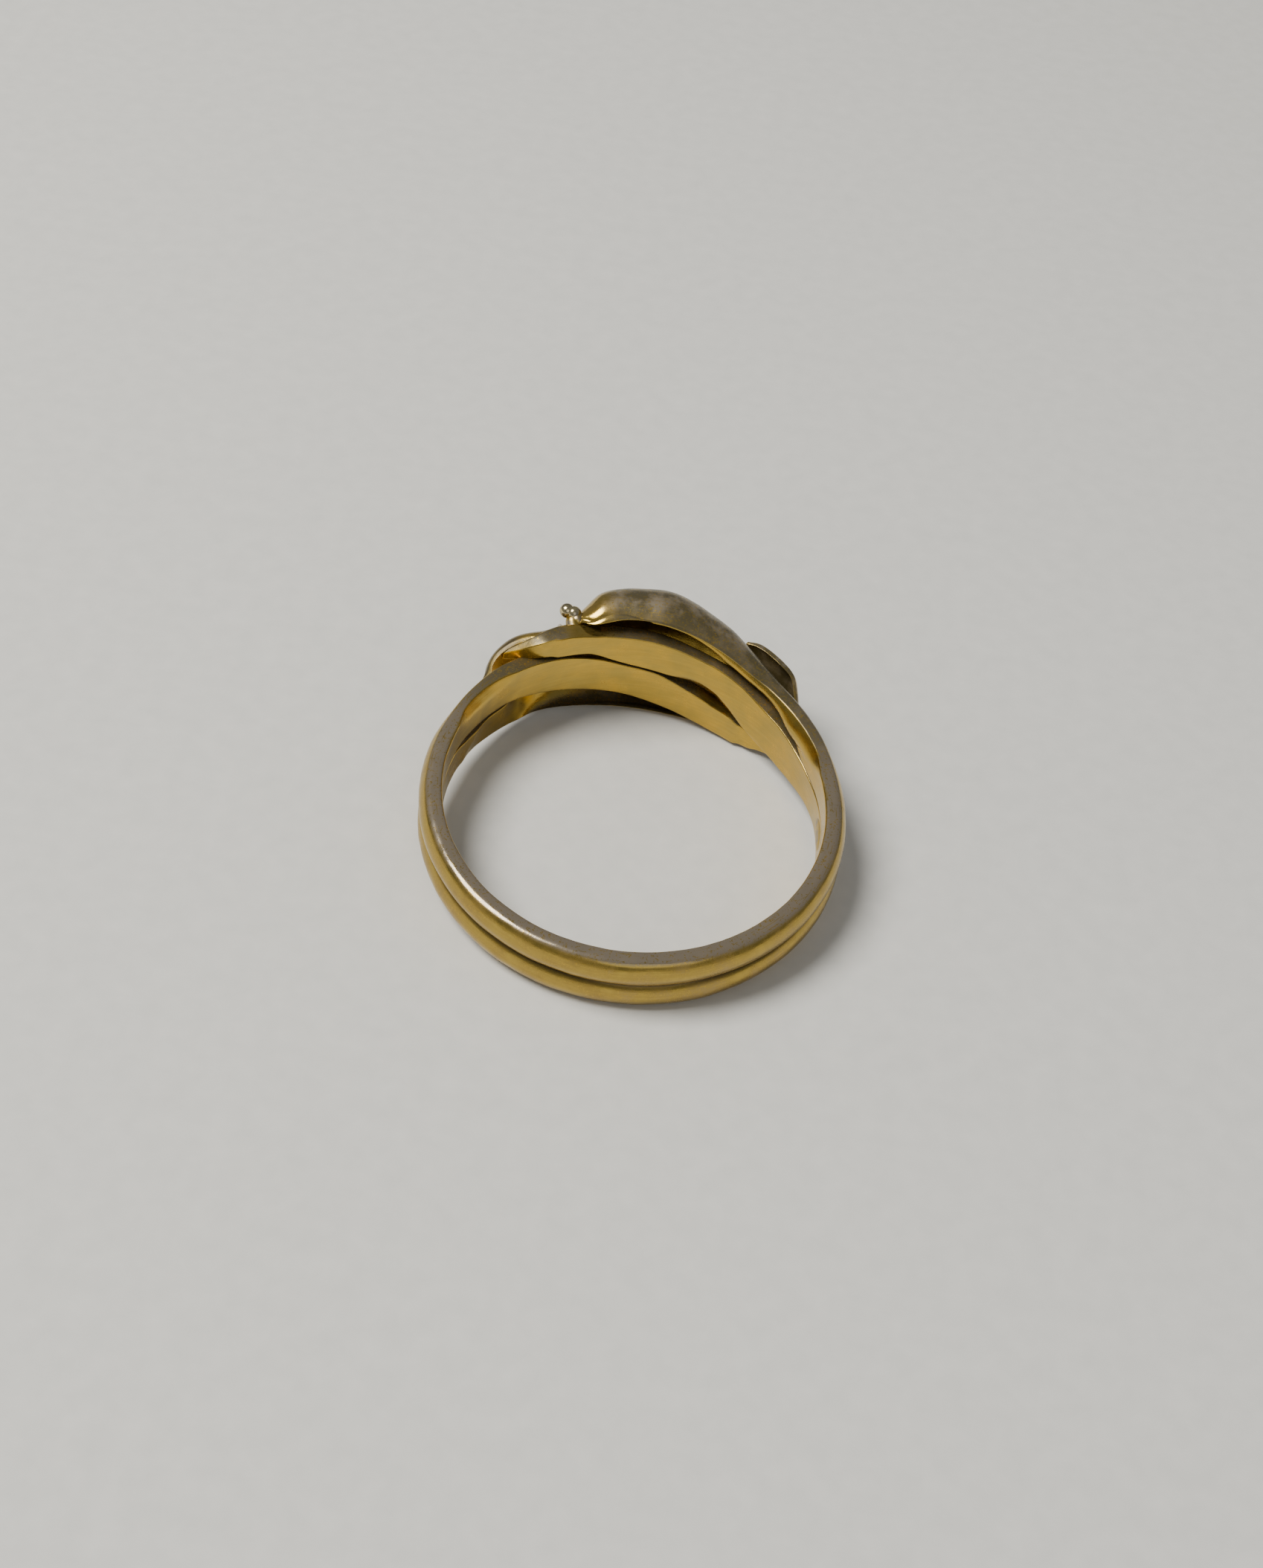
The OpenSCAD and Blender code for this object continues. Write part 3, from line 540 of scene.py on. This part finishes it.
def lump(shape, angle, out, height, along, outward, upward):
    """Add a rounded lump of solder that follows the curve of the finger hole."""
    made = bmesh.ops.create_icosphere(shape, subdivisions=4, radius=1.0)
    for vertex in made["verts"]:
        x, y, z = vertex.co
        turn = math.degrees(along * x / (BORE + out))
        vertex.co = round_the_finger(angle + turn, out + outward * y, height + upward * z)


def baked(context, piece):
    """Turn a piece with a live node tree into a plain mesh of its own."""
    context.scene.collection.objects.link(piece)
    context.view_layer.update()
    found = piece.evaluated_get(context.evaluated_depsgraph_get())
    mesh = bpy.data.meshes.new_from_object(found)
    piece.modifiers.clear()
    piece.data = mesh
    if not mesh.polygons:
        raise RuntimeError(piece.name + ": its node tree made nothing")
    return mesh


def set_inputs(modifier, values):
    """Set a node modifier's inputs by their sockets' identifiers."""
    for item in modifier.node_group.interface.items_tree:
        if item.item_type == "SOCKET" and item.in_out == "INPUT" and item.name in values:
            modifier[item.identifier] = values[item.name]


def node_tree(name, inputs):
    """A geometry tree with a mesh going in and out, and named inputs."""
    tree = bpy.data.node_groups.new(name, "GeometryNodeTree")
    tree.interface.new_socket(name="Mesh", in_out="INPUT", socket_type="NodeSocketGeometry")
    for label, kind in inputs:
        tree.interface.new_socket(name=label, in_out="INPUT", socket_type=kind)
    tree.interface.new_socket(name="Mesh", in_out="OUTPUT", socket_type="NodeSocketGeometry")
    return tree


def shank_tree():
    """Sweep the outlines of the two bands round the back of the finger."""
    tree = node_tree("sweep_round_finger", (
        ("Finger hole radius", "NodeSocketFloat"), ("Start angle", "NodeSocketFloat"),
        ("Sweep", "NodeSocketFloat"), ("Sections", "NodeSocketInt"), ("Metal", "NodeSocketMaterial")))
    given = add(tree, "NodeGroupInput").outputs
    bands = add(tree, "GeometryNodeMeshToCurve", {"Mesh": given["Mesh"]})
    arc = add(tree, "GeometryNodeCurveArc", {
        "Resolution": given["Sections"], "Radius": given["Finger hole radius"],
        "Start Angle": given["Start angle"], "Sweep Angle": given["Sweep"]}, mode="RADIUS")
    upright = add(tree, "GeometryNodeSetCurveNormal", {"Curve": arc.outputs["Curve"]}, mode="Z_UP")
    swept = add(tree, "GeometryNodeCurveToMesh", {
        "Curve": upright.outputs["Curve"], "Profile Curve": bands.outputs["Curve"], "Fill Caps": True})
    even = add(tree, "GeometryNodeSetShadeSmooth", {"Geometry": swept.outputs["Mesh"]})
    real = add(tree, "GeometryNodeRealizeInstances", {"Geometry": even.outputs["Geometry"]})
    metal = add(tree, "GeometryNodeSetMaterial", {
        "Geometry": real.outputs["Geometry"], "Material": given["Metal"]})
    add(tree, "NodeGroupOutput", {"Mesh": metal.outputs["Geometry"]})
    return tree


def bead_tree():
    """Put a small melted bead on each point, each a little different in size."""
    tree = node_tree("beads_on_points", (
        ("Bead diameter", "NodeSocketFloat"), ("Size variation", "NodeSocketFloat"),
        ("Seed", "NodeSocketInt"), ("Metal", "NodeSocketMaterial")))
    given = add(tree, "NodeGroupInput").outputs
    radius = add(tree, "ShaderNodeMath", {0: given["Bead diameter"], 1: 0.5}, operation="MULTIPLY")
    bead = add(tree, "GeometryNodeMeshIcoSphere", {"Radius": radius.outputs[0], "Subdivisions": 5})
    least = add(tree, "ShaderNodeMath", {0: 1.0, 1: given["Size variation"]}, operation="SUBTRACT")
    size = add(tree, "FunctionNodeRandomValue", {
        2: least.outputs[0], 3: 1.0, "Seed": given["Seed"]}, data_type="FLOAT")
    placed = add(tree, "GeometryNodeInstanceOnPoints", {
        "Points": given["Mesh"], "Instance": bead.outputs["Mesh"], "Scale": size.outputs[1]})
    real = add(tree, "GeometryNodeRealizeInstances", {"Geometry": placed.outputs["Instances"]})
    even = add(tree, "GeometryNodeSetShadeSmooth", {"Geometry": real.outputs["Geometry"]})
    metal = add(tree, "GeometryNodeSetMaterial", {
        "Geometry": even.outputs["Geometry"], "Material": given["Metal"]})
    add(tree, "NodeGroupOutput", {"Mesh": metal.outputs["Geometry"]})
    return tree


# ---- finishes ----

def ring_places():
    """A shader group that reads where on the ring a point is, in the ring's own frame and in mm."""
    name = "places_on_ring"
    if name in bpy.data.node_groups:
        return bpy.data.node_groups[name]
    tree = bpy.data.node_groups.new(name, "ShaderNodeTree")
    for kind, labels in (("NodeSocketVector", ("Place", "Along")),
                         ("NodeSocketFloat", ("Angle", "Out", "Height", "Facing", "Up"))):
        for label in labels:
            tree.interface.new_socket(name=label, in_out="OUTPUT", socket_type=kind)
    seen = add(tree, "ShaderNodeTexCoord").outputs
    place = add(tree, "ShaderNodeMapping", {
        "Vector": seen["Object"], "Location": CENTRE, "Rotation": (TILT, 0, 0), "Scale": (MM, MM, MM)},
        vector_type="TEXTURE").outputs[0]
    apart = add(tree, "ShaderNodeSeparateXYZ", {0: place}).outputs
    flat = add(tree, "ShaderNodeCombineXYZ", {"X": apart["X"], "Y": apart["Y"]}).outputs[0]
    radius = add(tree, "ShaderNodeVectorMath", {0: flat}, operation="LENGTH").outputs["Value"]
    radial = add(tree, "ShaderNodeVectorMath", {0: flat}, operation="NORMALIZE").outputs[0]
    out = add(tree, "ShaderNodeMath", {0: radius, 1: BORE}, operation="SUBTRACT").outputs[0]
    turn = add(tree, "ShaderNodeMath", {0: apart["X"], 1: apart["Y"]}, operation="ARCTAN2").outputs[0]
    angle = add(tree, "ShaderNodeMath", {0: turn, 1: math.degrees(1)}, operation="MULTIPLY").outputs[0]
    length = add(tree, "ShaderNodeMath", {0: turn, 1: BORE}, operation="MULTIPLY").outputs[0]
    along = add(tree, "ShaderNodeCombineXYZ", {"X": length, "Y": out, "Z": apart["Z"]}).outputs[0]
    facing = add(tree, "ShaderNodeVectorMath", {0: seen["Normal"], 1: radial},
                 operation="DOT_PRODUCT").outputs["Value"]
    up = add(tree, "ShaderNodeSeparateXYZ", {0: seen["Normal"]}).outputs["Z"]
    add(tree, "NodeGroupOutput", {"Place": place, "Along": along, "Angle": angle, "Out": out,
                                  "Height": apart["Z"], "Facing": facing, "Up": up})
    return tree


def worn_nine_carat_gold(finish):
    """9 carat yellow gold, rolled, bent and filed by hand, then worn for years.

    Faces that a finger rubs stay a clean satin gold with fine lines along the band, and the bands' outside has
    a thin cloudy veil. The leaf's outside, the buds and the rims keep a brown-grey patina with pinkish clouds,
    worn through along edges, at the leaf's tips and in scratches and small specks; on the leaf's dome the
    patina is darker also as a painted dark reflection of the room. The left bud's hollow is painted a deep
    glowing gold for light bounced inside it, and the groove between the bands, the left bud's lip and the right
    bud's hollow are painted darker as shade.
    """
    metal = bpy.data.materials.new("worn_nine_carat_gold")
    metal.use_nodes = True
    tree = metal.node_tree
    tree.nodes.clear()
    spot = add(tree, "ShaderNodeGroup", node_tree=ring_places()).outputs
    edge = add(tree, "ShaderNodeAttribute", attribute_name="edge_wear").outputs["Fac"]
    from_front = add(tree, "ShaderNodeMath", {0: spot["Angle"]}, operation="ABSOLUTE").outputs[0]
    from_middle = add(tree, "ShaderNodeMath", {0: spot["Height"]}, operation="ABSOLUTE").outputs[0]
    half = add(tree, "ShaderNodeMath", {0: spot["Height"]}, operation="SIGN").outputs[0]
    towards_tip = add(tree, "ShaderNodeMath", {0: spot["Angle"], 1: half}, operation="MULTIPLY").outputs[0]

    # Where things are: each share goes smoothly from 0 to 1 as what it reads goes from one value to the other
    share = {}
    for name, read, none, full in (
            ("inward", spot["Facing"], -0.1, -0.5),
            ("outward", spot["Facing"], -0.25, 0.2),
            ("top face", spot["Up"], 0.55, 0.9),
            ("far from wall", spot["Out"], 0.6, 1.0),
            ("near wall", spot["Out"], 1.0, 0.72),
            ("near middle", from_middle, 0.34, 0.04),
            ("front", from_front, 78.0, 48.0),
            ("left end", spot["Angle"], -34.0, -38.0),
            ("leaf's end", towards_tip, -11.0, -19.0),
            ("before bud", towards_tip, -30.0, -25.0)):
        share[name] = add(tree, "ShaderNodeMapRange", {
            "Value": read, "From Min": none, "From Max": full}, interpolation_type="SMOOTHSTEP").outputs[0]
    for name, other in (("back", "front"), ("right of left end", "left end")):
        share[name] = add(tree, "ShaderNodeMath", {0: 1.0, 1: share[other]}, operation="SUBTRACT").outputs[0]

    # Patterns, with their scale per mm: clouds of patina 1.3 mm across, specks of 0.1 mm, polishing lines
    # 2.5 mm long and 0.12 mm wide, and stray scratches 1 mm long and 0.06 mm wide
    drawn = add(tree, "ShaderNodeMapping", {
        "Vector": spot["Along"], "Scale": (0.4, 8.0, 8.0)}).outputs[0]
    slanted = add(tree, "ShaderNodeMapping", {
        "Vector": spot["Along"], "Rotation": (0.3, 0.6, 0.7), "Scale": (1.0, 16.0, 16.0)}).outputs[0]
    clouds, specks, lines, scratches = (
        add(tree, "ShaderNodeTexNoise", {
            "Vector": over, "Scale": scale, "Detail": detail, "Roughness": roughness}).outputs[0]
        for over, scale, detail, roughness in (
            (spot["Place"], 0.75, 6.0, 0.62), (spot["Place"], 9.0, 2.0, 0.6),
            (drawn, 1.0, 4.0, 0.65), (slanted, 1.0, 1.0, 0.4)))
    rubbed = add(tree, "ShaderNodeMath", {0: lines, 1: clouds, 2: edge}, operation="MULTIPLY_ADD").outputs[0]

    # Shares on a straight ramp: what each reads, from which value to which, and its share at either end
    for name, read, start, end, at_start, at_end in (
            ("deeper tone", clouds, 0.4, 0.75, 0.0, 0.3),
            ("line tone", lines, 0.3, 0.7, 0.88, 1.06),
            ("between specks", specks, 0.57, 0.66, 0.96, 0.35),
            ("between scratches", scratches, 0.66, 0.7, 1.0, 0.45),
            ("off edges", rubbed, 0.95, 1.35, 1.0, 0.3),
            ("thin veil", clouds, 0.35, 0.65, 0.0, 0.5),
            ("pinkish", clouds, 0.46, 0.62, 0.0, 0.75),
            ("on leaf", spot["Out"], 0.8, 1.3, 0.25, 1.0),
            ("on buds", spot["Out"], 0.95, 1.2, 0.0, 1.0),
            ("right bud", spot["Angle"], 20.0, 26.0, 0.0, 0.8),
            ("left bud", spot["Angle"], -38.5, -41.5, 0.0, 0.95),
            ("dullness", clouds, 0.3, 0.7, 0.18, 0.30)):
        share[name] = add(tree, "ShaderNodeMapRange", {
            "Value": read, "From Min": start, "From Max": end,
            "To Min": at_start, "To Max": at_end}).outputs[0]

    # Places and tones that several shares make together
    for name, parts in (
            # The pocket is where the deep gold is painted as a glow of light bounced inside the left bud's
            # hollow
            ("pocket", ("inward", "far from wall", "left end")),
            ("dome", ("outward", "front")),
            ("tip", ("leaf's end", "before bud")),
            # The groove is painted dark as shade
            ("groove", ("near middle", "near wall", "outward", "back")),
            ("veil", ("thin veil", "outward")),
            # The left bud's lip is painted darker as shade, with full patina and some of the shade colour
            ("lip", ("left bud", "on buds", "top face")),
            # The right bud's hollow is painted darker, with the patina colour, as shade
            ("shaded right hollow", ("right bud", "on buds", "inward")),
            ("pink", ("pinkish", "on leaf", "right of left end")),
            ("shank rim", ("top face", "back"))):
        share[name] = share[parts[0]]
        for part in parts[1:]:
            share[name] = add(tree, "ShaderNodeMath", {
                0: share[name], 1: share[part]}, operation="MULTIPLY").outputs[0]

    # How thick the patina is: less in the pocket and on the polished tips, where it is worn through, so the
    # pocket's painted glow shows, and all over the left bud's lip and the right bud's hollow, where it is
    # painted shade
    shown = add(tree, "ShaderNodeMapRange", {
        "Value": share["pocket"], "To Min": 0.97, "To Max": 0.15}).outputs[0]
    polished = add(tree, "ShaderNodeMapRange", {
        "Value": share["tip"], "To Min": 1.0, "To Max": 0.25}).outputs[0]
    film = add(tree, "ShaderNodeMath", {0: share["top face"], 1: shown}, operation="MULTIPLY").outputs[0]
    for how, values in (
            # On the dome the patina also stands for a painted dark reflection of the room
            ("MAXIMUM", (share["dome"], share["veil"])),
            ("MULTIPLY", (share["between specks"], share["between scratches"], share["off edges"], polished)),
            ("MAXIMUM", (share["lip"], share["shaded right hollow"]))):
        for value in values:
            film = add(tree, "ShaderNodeMath", {0: film, 1: value}, operation=how).outputs[0]
    # Painted shade: the groove between the bands, and the left bud's lip at a little under half strength
    painted_shade = add(tree, "ShaderNodeMath", {0: share["groove"], 1: 0.85}, operation="MULTIPLY").outputs[0]
    shaded = add(tree, "ShaderNodeMath", {0: share["lip"], 1: 0.45}, operation="MULTIPLY").outputs[0]
    painted_shade = add(tree, "ShaderNodeMath", {0: painted_shade, 1: shaded}, operation="MAXIMUM").outputs[0]

    # Colour: clean gold, with a painted glow of bounced light in the pocket, then patina and painted shade over
    # it
    # In the pocket, the deep gold mixed in here is a painted glow of bounced light
    tone = add(tree, "ShaderNodeMath", {
        0: share["deeper tone"], 1: share["pocket"]}, operation="MAXIMUM").outputs[0]
    clean = add(tree, "ShaderNodeMix", {0: tone, 6: linear(finish.gold), 7: linear(finish.deep_gold_and_glow)},
                data_type="RGBA").outputs[2]
    clean = add(tree, "ShaderNodeVectorMath", {
        0: clean, "Scale": share["line tone"]}, operation="SCALE").outputs[0]
    colour = linear(finish.patina)
    for amount, over in ((share["pink"], linear(finish.cloud)), (share["shank rim"], linear(finish.rim))):
        colour = add(tree, "ShaderNodeMix", {0: amount, 6: colour, 7: over}, data_type="RGBA").outputs[2]
    colour = add(tree, "ShaderNodeMix", {0: film, 6: clean, 7: colour}, data_type="RGBA").outputs[2]
    colour = add(tree, "ShaderNodeMix", {0: painted_shade, 6: colour, 7: linear(finish.shade_colour)},
                 data_type="RGBA").outputs[2]

    # Patina and the painted shade count as films that scatter light, so the metal under them shows less and
    # looks duller. The pocket is left rough, and the tips and the shank's rims are polished.
    film = add(tree, "ShaderNodeMath", {0: film, 1: painted_shade}, operation="MAXIMUM").outputs[0]
    bare = add(tree, "ShaderNodeMapRange", {"Value": film, "To Min": 1.0, "To Max": 0.55}).outputs[0]
    smoother = add(tree, "ShaderNodeMath", {
        0: share["tip"], 1: share["shank rim"]}, operation="MAXIMUM").outputs[0]
    rough = share["dullness"]
    for amount, more in ((film, 0.10), (share["pocket"], 0.25), (smoother, -0.14)):
        rough = add(tree, "ShaderNodeMath", {0: amount, 1: more, 2: rough}, operation="MULTIPLY_ADD").outputs[0]
    fine = add(tree, "ShaderNodeBump", {
        "Height": lines, "Strength": 0.2, "Distance": 0.02 * MM}).outputs[0]
    dents = add(tree, "ShaderNodeBump", {
        "Height": specks, "Strength": 0.12, "Distance": 0.02 * MM, "Normal": fine}).outputs[0]
    shader = add(tree, "ShaderNodeBsdfPrincipled", {
        "Base Color": colour, "Metallic": bare, "Roughness": rough, "Normal": dents})
    add(tree, "ShaderNodeOutputMaterial", {"Surface": shader.outputs[0]})
    return metal


def melted_gold(name, clean, stained, dull):
    """Gold that was melted: clean and stained tones in clouds of 0.3 mm, and a roughness between two ends."""
    metal = bpy.data.materials.new(name)
    metal.use_nodes = True
    tree = metal.node_tree
    tree.nodes.clear()
    spot = add(tree, "ShaderNodeGroup", node_tree=ring_places()).outputs
    specks = add(tree, "ShaderNodeTexNoise", {
        "Vector": spot["Place"], "Scale": 3.0, "Detail": 3.0, "Roughness": 0.6}).outputs[0]
    share = add(tree, "ShaderNodeMapRange", {
        "Value": specks, "From Min": 0.42, "From Max": 0.62}).outputs[0]
    colour = add(tree, "ShaderNodeMix", {0: share, 6: linear(clean), 7: linear(stained)},
                 data_type="RGBA").outputs[2]
    rough = add(tree, "ShaderNodeMapRange", {
        "Value": specks, "From Min": 0.3, "From Max": 0.7, "To Min": dull[0], "To Max": dull[1]}).outputs[0]
    bump = add(tree, "ShaderNodeBump", {
        "Height": specks, "Strength": 0.3, "Distance": 0.03 * MM}).outputs[0]
    shader = add(tree, "ShaderNodeBsdfPrincipled", {
        "Base Color": colour, "Metallic": 1.0, "Roughness": rough, "Normal": bump})
    add(tree, "ShaderNodeOutputMaterial", {"Surface": shader.outputs[0]})
    return metal


def melted_gold_bead(finish):
    """Small beads of melted gold, smoother and brighter than the bands."""
    return melted_gold("melted_gold_bead", finish.bead, finish.cloud, (0.12, 0.26))


def melted_gold_solder(finish):
    """Solder at the joints, stained in small clouds and duller than the beads."""
    return melted_gold("melted_gold_solder", finish.gold, finish.cloud, (0.26, 0.42))


def found_metal(context, maker):
    """The material that is named as its maker, made the first time that it is asked for."""
    return bpy.data.materials.get(maker.__name__) or maker(context.scene.ring_finish)


# ---- operators ----

class RING_OT_shank(bpy.types.Operator):
    """Sweep the two soldered bands round the back of the finger"""

    bl_idname = "ring.shank"
    bl_label = "Shank"

    def execute(self, context):
        sizes = context.scene.ring_sizes
        profile = bpy.data.meshes.new("band_outlines")
        points, edges = [], []
        for upper in (True, False):
            loop = shank_outline(sizes, upper)
            start = len(points)
            points.extend((out, height, 0.0) for out, height in loop)
            edges.extend((start + j, start + (j + 1) % len(loop)) for j in range(len(loop)))
        profile.from_pydata(points, edges, [])
        piece = bpy.data.objects.new("shank", profile)
        sweep = piece.modifiers.new("sweep", "NODES")
        sweep.node_group = shank_tree()
        turn = 2 * math.pi - 2 * sizes.shoulder_angle
        set_inputs(sweep, {
            "Finger hole radius": BORE, "Start angle": math.radians(-90) - turn / 2, "Sweep": turn,
            "Sections": round(math.degrees(turn)) + 1,
            "Metal": found_metal(context, worn_nine_carat_gold)})
        mesh = baked(context, piece)
        laid_down(mesh, sizes.unevenness / MM)
        mark_edges(mesh, sizes.shoulder_angle)
        settled(context, piece)
        return {"FINISHED"}


class RING_OT_strands(bpy.types.Operator):
    """Sweep the halves of the leaf and the crossing tongues with their buds"""

    bl_idname = "ring.strands"
    bl_label = "Leaf and tongues"

    def execute(self, context):
        sizes = context.scene.ring_sizes
        metal = found_metal(context, worn_nine_carat_gold)
        for name in STRANDS:
            mesh = strand_mesh(name, sizes)
            laid_down(mesh, sizes.unevenness / MM)
            mark_edges(mesh, sizes.shoulder_angle)
            mesh.materials.append(metal)
            settled(context, bpy.data.objects.new(name, mesh))
        return {"FINISHED"}


class RING_OT_beads(bpy.types.Operator):
    """Put a pair of melted beads at the tip of each half of the leaf"""

    bl_idname = "ring.beads"
    bl_label = "Beads"

    def execute(self, context):
        sizes = context.scene.ring_sizes
        centres = []
        for angle, out, height in BEADS:
            for side in (1, -1):
                centres.append(LIE @ (round_the_finger(side * angle, out, side * height) * MM))
        points = bpy.data.meshes.new("bead_centres")
        points.from_pydata(centres, [], [])
        piece = bpy.data.objects.new("beads", points)
        beads = piece.modifiers.new("beads", "NODES")
        beads.node_group = bead_tree()
        set_inputs(beads, {
            "Bead diameter": sizes.bead_diameter, "Size variation": 0.06, "Seed": 4,
            "Metal": found_metal(context, melted_gold_bead)})
        baked(context, piece)
        settled(context, piece)
        return {"FINISHED"}


class RING_OT_solder(bpy.types.Operator):
    """Run a neck of solder from each tip up to its beads, and leave the lumps of the joints"""

    bl_idname = "ring.solder"
    bl_label = "Solder"

    def execute(self, context):
        sizes = context.scene.ring_sizes
        radius = sizes.neck_diameter / MM / 2
        mesh = bpy.data.meshes.new("solder")
        shape = bmesh.new()
        for side in (1, -1):
            foot, head = (round_the_finger(side * angle, out, side * height)
                          for angle, out, height in (NECK_FOOT, NECK_HEAD))
            turned = (head - foot).to_track_quat("Z", "Y").to_matrix()
            rings = []
            for s in np.linspace(0, 1, NECK_RINGS):
                # Wider towards the foot, and rounded off towards the head
                narrowed = 0.68 + 0.36 * (1 - s) ** 2
                rounded = math.sqrt(max(1 - max(s - 0.7, 0) ** 2 / 0.1, 0.01))
                reach = radius * narrowed * rounded
                turns = [j * math.tau / NECK_SIDES for j in range(NECK_SIDES)]
                rings.append([shape.verts.new(foot.lerp(head, s) + turned @ Vector((
                    reach * math.cos(turn), reach * math.sin(turn), 0))) for turn in turns])
            for one, two in zip(rings, rings[1:]):
                for j in range(NECK_SIDES):
                    k = (j + 1) % NECK_SIDES
                    shape.faces.new((one[j], one[k], two[k], two[j]))
            shape.faces.new(rings[0][::-1])
            shape.faces.new(rings[-1])
        for row in LUMPS:
            lump(shape, *row)
        bmesh.ops.recalc_face_normals(shape, faces=shape.faces)
        shape.to_mesh(mesh)
        shape.free()
        laid_down(mesh, sizes.unevenness / MM)
        mesh.materials.append(found_metal(context, melted_gold_solder))
        settled(context, bpy.data.objects.new("solder", mesh))
        return {"FINISHED"}


class RING_OT_stage(bpy.types.Operator):
    """Lay the floor, light it and set the camera"""

    bl_idname = "ring.stage"
    bl_label = "Stage"

    def execute(self, context):
        stage = context.scene.ring_stage
        floor = bpy.data.meshes.new("floor")
        corners = [(x * FLOOR_REACH, y * FLOOR_REACH, 0) for x, y in ((-1, -1), (1, -1), (1, 1), (-1, 1))]
        floor.from_pydata(corners, [], [(0, 1, 2, 3)])
        plane = bpy.data.objects.new("floor", floor)
        context.scene.collection.objects.link(plane)
        # Pale matte board with a fine grain, about 1 mm, that hardly shows
        pale = bpy.data.materials.new("matte_pale_board")
        pale.use_nodes = True
        tree = pale.node_tree
        tree.nodes.clear()
        place = add(tree, "ShaderNodeTexCoord").outputs["Object"]
        grain = add(tree, "ShaderNodeTexNoise", {"Vector": place, "Scale": 900.0, "Detail": 2.0}).outputs[0]
        tint = add(tree, "ShaderNodeMix", {
            0: grain, 6: linear(stage.floor_colour), 7: linear("#E2E0DA")}, data_type="RGBA").outputs[2]
        shader = add(tree, "ShaderNodeBsdfPrincipled", {"Base Color": tint, "Roughness": 0.9})
        add(tree, "ShaderNodeOutputMaterial", {"Surface": shader.outputs[0]})
        floor.materials.append(pale)

        for name, at, size, power, tone in (
                ("window", (-0.225, -0.03, 0.385), 0.23, stage.key_power, (1.0, 0.98, 0.93)),
                ("fill", (0.10, -0.30, 0.25), 0.30, stage.key_power * FILL_SHARE, (0.97, 0.98, 1.0))):
            light = bpy.data.lights.new(name, "AREA")
            light.shape = "DISK"
            light.size = size
            light.energy = power
            light.color = tone
            lamp = bpy.data.objects.new(name, light)
            lamp.location = at
            lamp.rotation_euler = (-Vector(at)).to_track_quat("-Z", "Y").to_euler()
            context.scene.collection.objects.link(lamp)

        world = bpy.data.worlds.new("plain_room")
        world.use_nodes = True
        background = world.node_tree.nodes["Background"].inputs
        background["Color"].default_value = (0.93, 0.96, 1.0, 1.0)
        background["Strength"].default_value = stage.room
        context.scene.world = world

        eye = bpy.data.cameras.new("camera")
        eye.lens = LENS
        eye.sensor_width = SENSOR
        eye.clip_start = 0.005
        camera = bpy.data.objects.new("camera", eye)
        look = (LIE.to_3x3() @ SIGHT).normalized()
        level = Vector((1.0, 0.0, 0.0))
        over = level.cross(look)
        right = level * math.cos(ROLL) + over * math.sin(ROLL)
        up = over * math.cos(ROLL) - level * math.sin(ROLL)
        turned = Matrix((right, up, -look)).transposed().to_4x4()
        camera.matrix_world = Matrix.Translation(LIE @ (EYE * MM)) @ turned
        context.scene.collection.objects.link(camera)
        context.scene.camera = camera
        return {"FINISHED"}


class RING_PT_panel(bpy.types.Panel):
    """The ring's sizes, finish and stage"""

    bl_idname = "RING_PT_panel"
    bl_label = "Double band ring"
    bl_space_type = "VIEW_3D"
    bl_region_type = "UI"
    bl_category = "Ring"

    def draw(self, context):
        layout = self.layout
        for group in (context.scene.ring_sizes, context.scene.ring_finish, context.scene.ring_stage):
            box = layout.box()
            for name in group.bl_rna.properties.keys():
                if name not in ("rna_type", "name"):
                    box.prop(group, name)
        for kind in OPERATORS:
            layout.operator(kind.bl_idname)


GROUPS = (RingSizes, RingFinish, StageSettings)
OPERATORS = (RING_OT_shank, RING_OT_strands, RING_OT_beads, RING_OT_solder, RING_OT_stage)


def register():
    for kind in GROUPS + OPERATORS + (RING_PT_panel,):
        bpy.utils.register_class(kind)
    bpy.types.Scene.ring_sizes = bpy.props.PointerProperty(type=RingSizes)
    bpy.types.Scene.ring_finish = bpy.props.PointerProperty(type=RingFinish)
    bpy.types.Scene.ring_stage = bpy.props.PointerProperty(type=StageSettings)


def unregister():
    for name in ("ring_sizes", "ring_finish", "ring_stage"):
        delattr(bpy.types.Scene, name)
    for kind in reversed(GROUPS + OPERATORS + (RING_PT_panel,)):
        bpy.utils.unregister_class(kind)


def main():
    """Make every piece."""
    register()
    bpy.ops.ring.shank()
    bpy.ops.ring.strands()
    bpy.ops.ring.beads()
    bpy.ops.ring.solder()
    bpy.ops.ring.stage()


if __name__ == "__main__":
    main()
